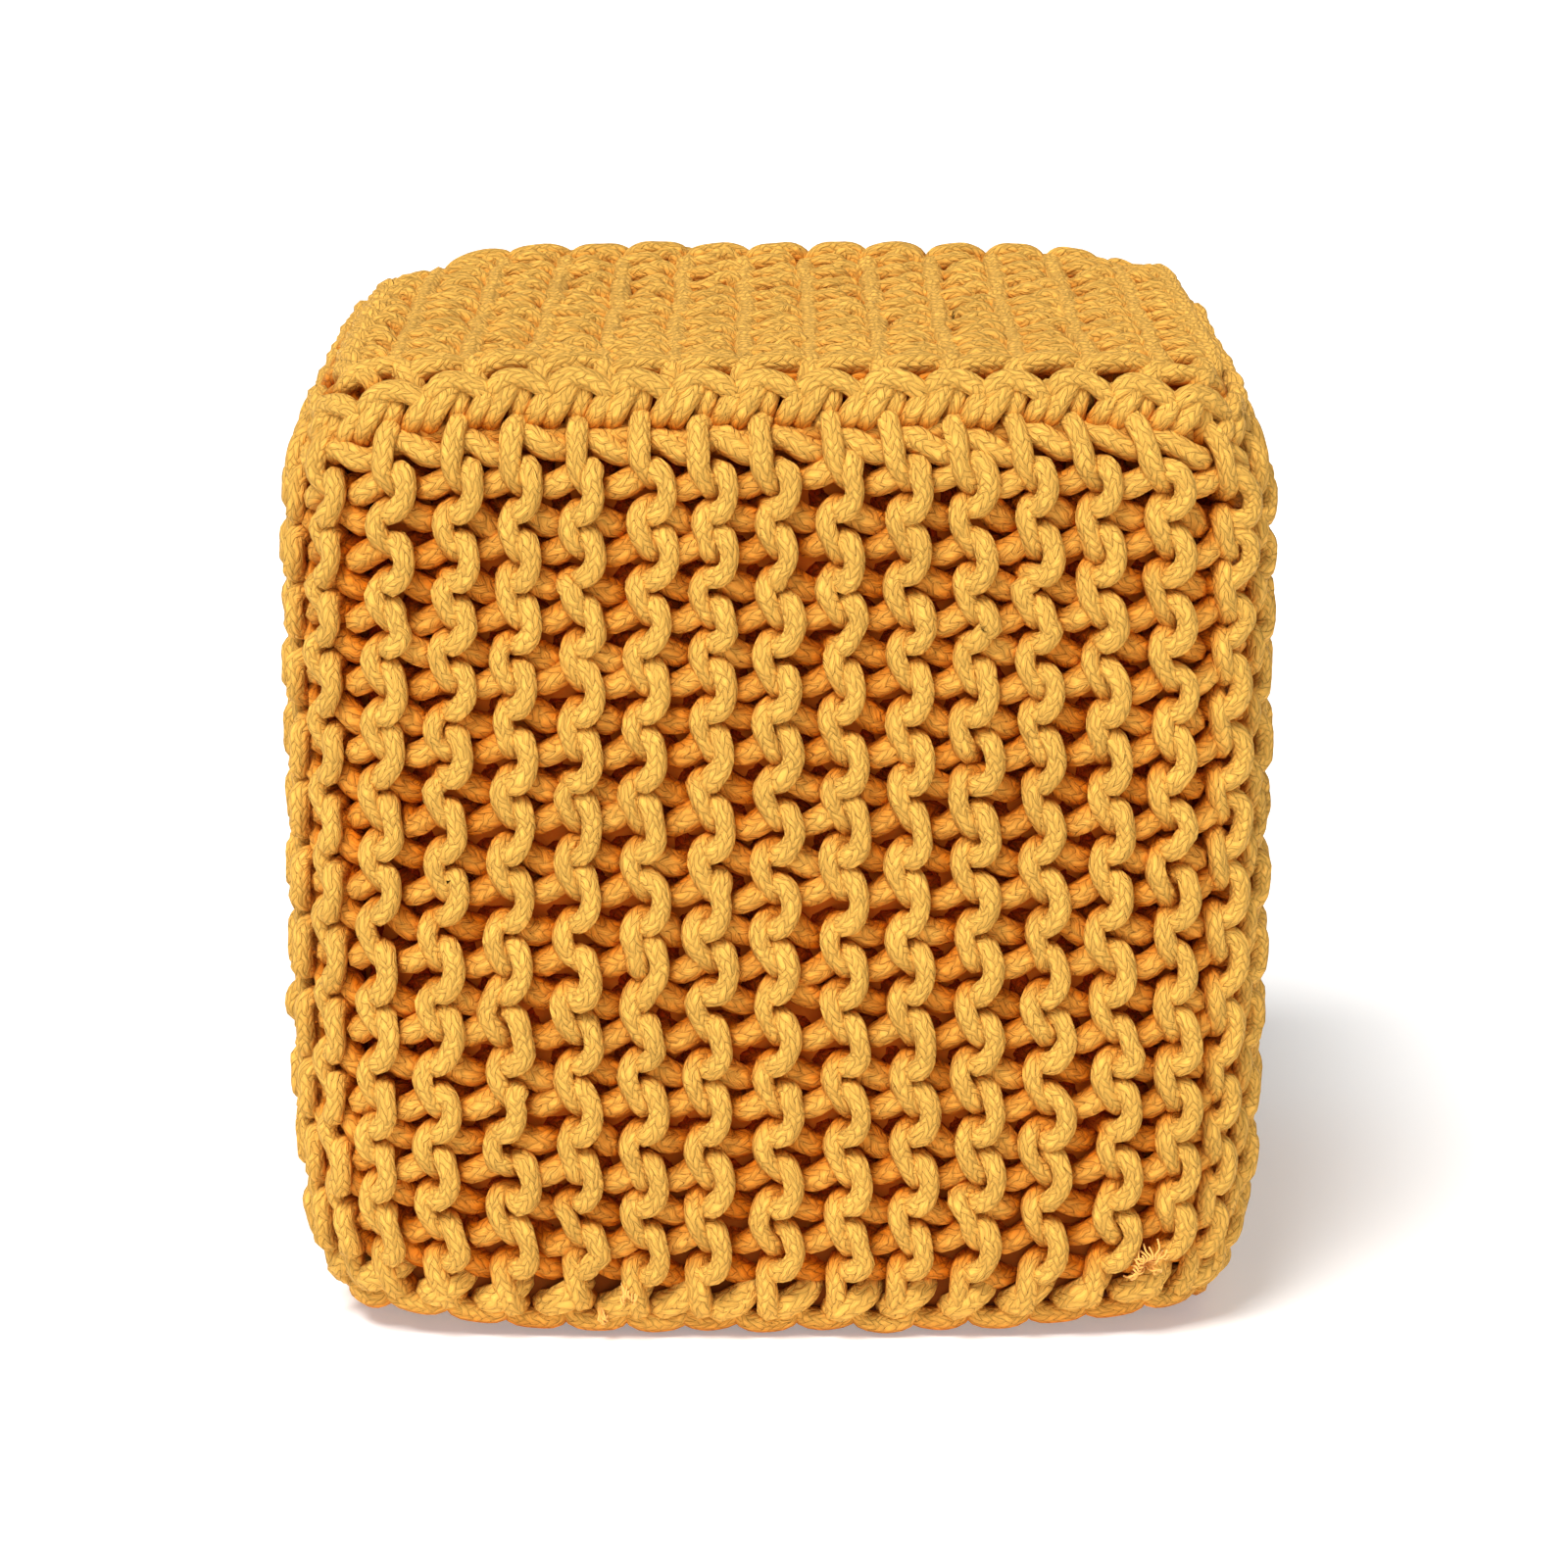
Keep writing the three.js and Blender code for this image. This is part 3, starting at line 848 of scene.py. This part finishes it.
repeat = addNode(tree, "ShaderNodeMath", {"operation": "FLOORED_MODULO"}, {0: cells, 1: 4.0}).outputs[0]
over = addNode(tree, "ShaderNodeMath", {"operation": "LESS_THAN"}, {0: repeat, 1: 2.0}).outputs[0]
across = addNode(tree, "ShaderNodeMix", {"data_type": "FLOAT"}, {0: over, 2: rightRun, 3: leftRun}).outputs[0]
leftFloat = addNode(tree, "ShaderNodeMath", {"operation": "ADD"}, {0: leftCell, 1: rightRun}).outputs[0]
rightFloat = addNode(tree, "ShaderNodeMath", {"operation": "ADD"}, {0: rightCell, 1: leftRun}).outputs[0]
lengthways = addNode(
    tree, "ShaderNodeMix", {"data_type": "FLOAT"}, {0: over, 2: rightFloat, 3: leftFloat}
).outputs[0]
acrossTurn = addNode(tree, "ShaderNodeMath", {"operation": "MULTIPLY"}, {0: across, 1: math.pi}).outputs[0]
acrossWave = addNode(tree, "ShaderNodeMath", {"operation": "SINE"}, {0: acrossTurn}).outputs[0]
crown = addNode(tree, "ShaderNodeMath", {"operation": "ABSOLUTE"}, {0: acrossWave}).outputs[0]
lengthTurn = addNode(
    tree, "ShaderNodeMath", {"operation": "MULTIPLY"}, {0: lengthways, 1: math.pi / 2}
).outputs[0]
lengthWave = addNode(tree, "ShaderNodeMath", {"operation": "SINE"}, {0: lengthTurn}).outputs[0]
bow = addNode(tree, "ShaderNodeMath", {"operation": "ABSOLUTE"}, {0: lengthWave}).outputs[0]
plait = addNode(tree, "ShaderNodeMath", {"operation": "MULTIPLY"}, {0: crown, 1: bow}).outputs[0]
yarnTurn = addNode(
    tree, "ShaderNodeMath", {"operation": "MULTIPLY"}, {0: acrossTurn, 1: braidedCord["yarns"]}
).outputs[0]
yarnWave = addNode(tree, "ShaderNodeMath", {"operation": "SINE"}, {0: yarnTurn}).outputs[0]
yarn = addNode(tree, "ShaderNodeMath", {"operation": "ABSOLUTE"}, {0: yarnWave}).outputs[0]
fibreSpot = addNode(tree, "ShaderNodeCombineXYZ", None, {0: across, 1: lengthways}).outputs[0]
fibreRun = addNode(
    tree, "ShaderNodeVectorMath", {"operation": "MULTIPLY"}, {0: fibreSpot, 1: braidedCord["fibreRun"]}
).outputs[0]
fibres = addNode(
    tree, "ShaderNodeTexNoise", None, {"Vector": fibreRun, "Scale": 1.0, "Detail": 3.0, "Roughness": 0.6}
).outputs[0]
atCrossing = addNode(
    tree, "ShaderNodeMath", {"operation": "MULTIPLY_ADD"}, {0: bow, 1: braidedCord["bowShare"], 2: crown}
).outputs[0]
hollowRange = dict(zip(rangeSockets, braidedCord["hollow"]))
hollow = addNode(
    tree, "ShaderNodeMapRange", {"interpolation_type": "SMOOTHSTEP"}, {"Value": atCrossing, **hollowRange}
).outputs[0]
patchScale = 1000 / braidedCord["patchSize"]
patches = addNode(
    tree, "ShaderNodeTexNoise", None, {"Vector": spot, "Scale": patchScale, "Detail": 1.0}
).outputs[0]
shownRange = dict(zip(rangeSockets, braidedCord["shown"]))
shown = addNode(
    tree, "ShaderNodeMapRange", {"interpolation_type": "SMOOTHSTEP"}, {"Value": patches, **shownRange}
).outputs[0]
# Painted shade in the slits, where the patches let it show
slitShare = addNode(tree, "ShaderNodeMath", {"operation": "MULTIPLY"}, {0: hollow, 1: shown}).outputs[0]
plaits = addNode(
    tree,
    "ShaderNodeMix",
    {"data_type": "RGBA"},
    {0: slitShare, 6: linear(braidedCord["raised"]), 7: linear(braidedCord["slit"])},
).outputs[2]
yarned = addNode(
    tree, "ShaderNodeMath", {"operation": "MULTIPLY_ADD"}, {0: yarn, 1: braidedCord["yarnHeight"], 2: plait}
).outputs[0]
fibreHeight = braidedCord["fibreHeight"]
height = addNode(
    tree, "ShaderNodeMath", {"operation": "MULTIPLY_ADD"}, {0: fibres, 1: fibreHeight, 2: yarned}
).outputs[0]
# Painted shade: darker where fibres lie low, lighter on the crowns
toneRange = dict(zip(rangeSockets, braidedCord["tone"]))
tone = addNode(tree, "ShaderNodeMapRange", None, {"Value": height, **toneRange}).outputs[0]
cloudScale = 1000 / braidedCord["dyeCloud"]
cloud = addNode(
    tree, "ShaderNodeTexNoise", None, {"Vector": spot, "Scale": cloudScale, "Detail": 2.0}
).outputs[0]
dyeRange = dict(zip(rangeSockets, braidedCord["dye"]))
dye = addNode(tree, "ShaderNodeMapRange", None, {"Value": cloud, **dyeRange}).outputs[0]
# Painted shade of the hollows, times the dye's slow changes
shade = addNode(tree, "ShaderNodeMath", {"operation": "MULTIPLY"}, {0: tone, 1: dye}).outputs[0]
dyedAndShaded = addNode(tree, "ShaderNodeVectorMath", {"operation": "SCALE"}, {0: plaits, "Scale": shade}).outputs[0]
# Painted shade: the cord is tinted darker and redder, in two steps, where it lies deep in the knit
tuckedShade = addNode(tree, "ShaderNodeAttribute", {"attribute_name": "tuckedShade"}).outputs["Fac"]
lowerRange = dict(zip(rangeSockets, braidedCord["lower"]))
lower = addNode(tree, "ShaderNodeMapRange", None, {"Value": tuckedShade, **lowerRange}).outputs[0]
halfShaded = addNode(
    tree,
    "ShaderNodeMix",
    {"data_type": "RGBA", "blend_type": "MULTIPLY"},
    {0: lower, 6: dyedAndShaded, 7: linear(braidedCord["halfTuckedShade"])},
).outputs[2]
colour = addNode(
    tree,
    "ShaderNodeMix",
    {"data_type": "RGBA", "blend_type": "MULTIPLY"},
    {0: tuckedShade, 6: halfShaded, 7: linear(braidedCord["tuckedShade"])},
).outputs[2]
reliefDepth = braidedCord["relief"] * 0.001
relief = addNode(
    tree, "ShaderNodeBump", None, {"Height": height, "Strength": 1.0, "Distance": reliefDepth}
).outputs[0]
cordShader = {
    "Base Color": colour,
    "Roughness": 0.68,
    "Specular IOR Level": 0.1,
    "Sheen Weight": 0.08,
    "Sheen Roughness": 0.5,
    "Sheen Tint": linear(braidedCord["sheen"]),
    "Normal": relief,
}
shader = addNode(tree, "ShaderNodeBsdfPrincipled", None, cordShader).outputs[0]
addNode(tree, "ShaderNodeOutputMaterial", None, {"Surface": shader})
for piece in knitPieces[:-1]:
    piece.data.materials.append(cottonCord)

# Loose cotton yarn of the frayed ends: paler than the cord, fluffy, and without its braid
cottonYarn = bpy.data.materials.new("loose_cotton_yarn")
cottonYarn.use_nodes = True
yarnShader = cottonYarn.node_tree.nodes["Principled BSDF"]
yarnShader.inputs["Base Color"].default_value = linear("#F2B85C")
yarnShader.inputs["Roughness"].default_value = 0.95
yarnShader.inputs["Specular IOR Level"].default_value = 0.05
yarnShader.inputs["Sheen Weight"].default_value = 0.2
knitPieces[-1].data.materials.append(cottonYarn)

# Plain-woven cotton of the inner bag, dyed with the cord: matt, with painted shade that darkens it towards
# the floor, seen only in shade
wovenBag = {
    "threadSpacing": 10 / 9,  # mm, nine to the centimetre: coarser than the real weave, so that it shows
    "threads": ("#EC6E1A", "#F58426"),
    "floorShade": (0.03, 0.09, 0.22, 1.0),  # painted shade from the floor up: heights in metres, and the tones they give
    "relief": 0.3,            # mm
}
wovenCotton = bpy.data.materials.new("woven_cotton_bag")
wovenCotton.use_nodes = True
tree = wovenCotton.node_tree
tree.nodes.clear()
spot = addNode(tree, "ShaderNodeTexCoord").outputs["Object"]
threadScale = 1000 / wovenBag["threadSpacing"]
threads = addNode(
    tree, "ShaderNodeTexNoise", None, {"Vector": spot, "Scale": threadScale, "Detail": 2.0}
).outputs[0]
dark, pale = (linear(colour) for colour in wovenBag["threads"])
woven = addNode(tree, "ShaderNodeMix", {"data_type": "RGBA"}, {0: threads, 6: dark, 7: pale}).outputs[2]
level = addNode(tree, "ShaderNodeSeparateXYZ", None, {0: spot}).outputs[2]
floorShadeRange = dict(zip(rangeSockets, wovenBag["floorShade"]))
# Painted shade: darker towards the floor
floorShade = addNode(tree, "ShaderNodeMapRange", None, {"Value": level, **floorShadeRange}).outputs[0]
colour = addNode(tree, "ShaderNodeVectorMath", {"operation": "SCALE"}, {0: woven, "Scale": floorShade}).outputs[0]
reliefDepth = wovenBag["relief"] * 0.001
relief = addNode(
    tree, "ShaderNodeBump", None, {"Height": threads, "Strength": 0.4, "Distance": reliefDepth}
).outputs[0]
bagShader = {"Base Color": colour, "Roughness": 0.95, "Specular IOR Level": 0.15, "Normal": relief}
shader = addNode(tree, "ShaderNodeBsdfPrincipled", None, bagShader).outputs[0]
addNode(tree, "ShaderNodeOutputMaterial", None, {"Surface": shader})
filledBag.data.materials.append(wovenCotton)
print("materials set")

# Floor, light and camera, in metres
studio = {
    "eye": (0.0, -2.339, 0.714),
    "lookAt": (0.00266, 0.0, 0.1905),
    "sensor": 36.0,
    "focalShare": 5680 / 1600,  # focal length over the width of the frame, in the photo's pixels
    "world": 0.31,
    "sun": 3.7,
    "sunFrom": (-0.27, -0.50, 0.82),
    "sunSpread": 26.0,
    "fill": 0.48,
    "fillFrom": (0.05, -0.97, 0.22),
    "fillSpread": 40.0,
    "floor": "#F2F1EF",
    "floorGlow": 0.28,  # lit a little from beneath, so that shadows stay pale
    "floorReach": 40.0,
    "floorLevel": -0.001,
}
reach, level = studio["floorReach"], studio["floorLevel"]
mesh = bpy.data.meshes.new("floor")
corners = [(-reach, -reach, level), (reach, -reach, level), (reach, reach, level), (-reach, reach, level)]
mesh.from_pydata(corners, [], [(0, 1, 2, 3)])
floor = bpy.data.objects.new("floor", mesh)
bpy.context.scene.collection.objects.link(floor)
paper = bpy.data.materials.new("matt_backdrop_paper")
paper.use_nodes = True
paperShader = paper.node_tree.nodes["Principled BSDF"]
paperShader.inputs["Base Color"].default_value = linear(studio["floor"])
paperShader.inputs["Roughness"].default_value = 1.0
paperShader.inputs["Specular IOR Level"].default_value = 0.0
paperShader.inputs["Emission Color"].default_value = (1, 1, 1, 1)
paperShader.inputs["Emission Strength"].default_value = studio["floorGlow"]
mesh.materials.append(paper)

world = bpy.data.worlds.new("studio")
bpy.context.scene.world = world
world.use_nodes = True
world.node_tree.nodes["Background"].inputs["Color"].default_value = (1, 1, 1, 1)
world.node_tree.nodes["Background"].inputs["Strength"].default_value = studio["world"]
for name, key in (("soft_key", "sun"), ("soft_fill", "fill")):
    light = bpy.data.lights.new(name, "SUN")
    light.energy = studio[key]
    light.angle = math.radians(studio[key + "Spread"])
    lamp = bpy.data.objects.new(name, light)
    lamp.rotation_euler = (-Vector(studio[key + "From"])).to_track_quat("-Z", "Y").to_euler()
    bpy.context.scene.collection.objects.link(lamp)

cameraData = bpy.data.cameras.new("camera")
cameraData.lens = studio["sensor"] * studio["focalShare"]
cameraData.sensor_width = studio["sensor"]
camera = bpy.data.objects.new("camera", cameraData)
camera.location = studio["eye"]
sight = Vector(studio["lookAt"]) - Vector(studio["eye"])
camera.rotation_euler = sight.to_track_quat("-Z", "Y").to_euler()
bpy.context.scene.collection.objects.link(camera)
bpy.context.scene.camera = camera
bpy.context.scene.view_settings.view_transform = "Standard"
print("studio set")
